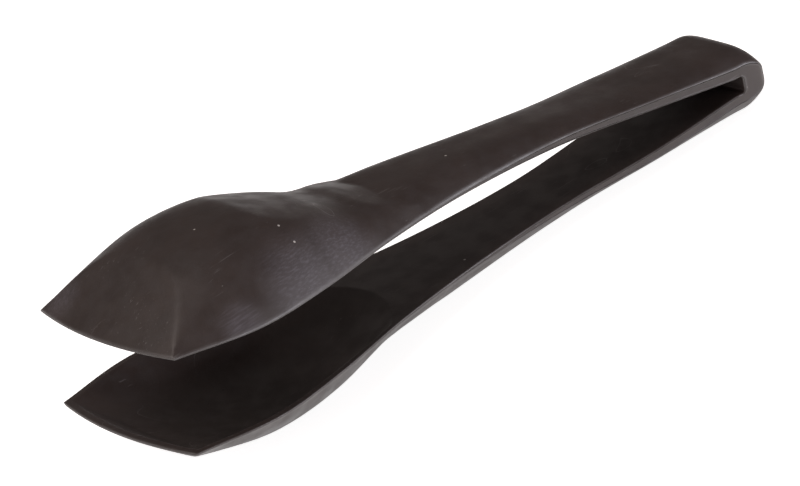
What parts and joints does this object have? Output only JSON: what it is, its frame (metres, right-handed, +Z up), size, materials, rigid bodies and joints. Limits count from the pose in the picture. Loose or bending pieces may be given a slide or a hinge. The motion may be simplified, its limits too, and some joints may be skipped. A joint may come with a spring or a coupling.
{
  "type": "spring tongs",
  "caption": "Kitchen tongs moulded in one piece, a hollow scoop on each flat arm and a U-shaped bow that springs the arms open.",
  "frame": {"origin": "middle of the footprint, on the surface the tongs lie on", "axes": "+X along the length from the scoops towards the bow, +Y across the width, +Z up; the tongs lie on the back of the lower scoop and on the bow"},
  "size_m": [0.2152, 0.067, 0.0574],
  "materials": {
    "nylon": "satin moulded, lightly scuffed"
  },
  "bodies": {
    "lower_jaw": {"lower_scoop": "nylon", "lower_arm": "nylon", "spring_bow": "nylon"},
    "upper_jaw": {"upper_arm": "nylon", "upper_scoop": "nylon"}
  },
  "joints": [
    {"name": "squeeze", "type": "hinge", "parent": "lower_jaw", "child": "upper_jaw", "pos_m": [0.08819, 0, 0.01071], "axis": [0, -1, 0], "range_deg": [0, 7.5], "stiffness_Nm_per_rad": 8, "deforming": ["spring_bow"]}
  ]
}
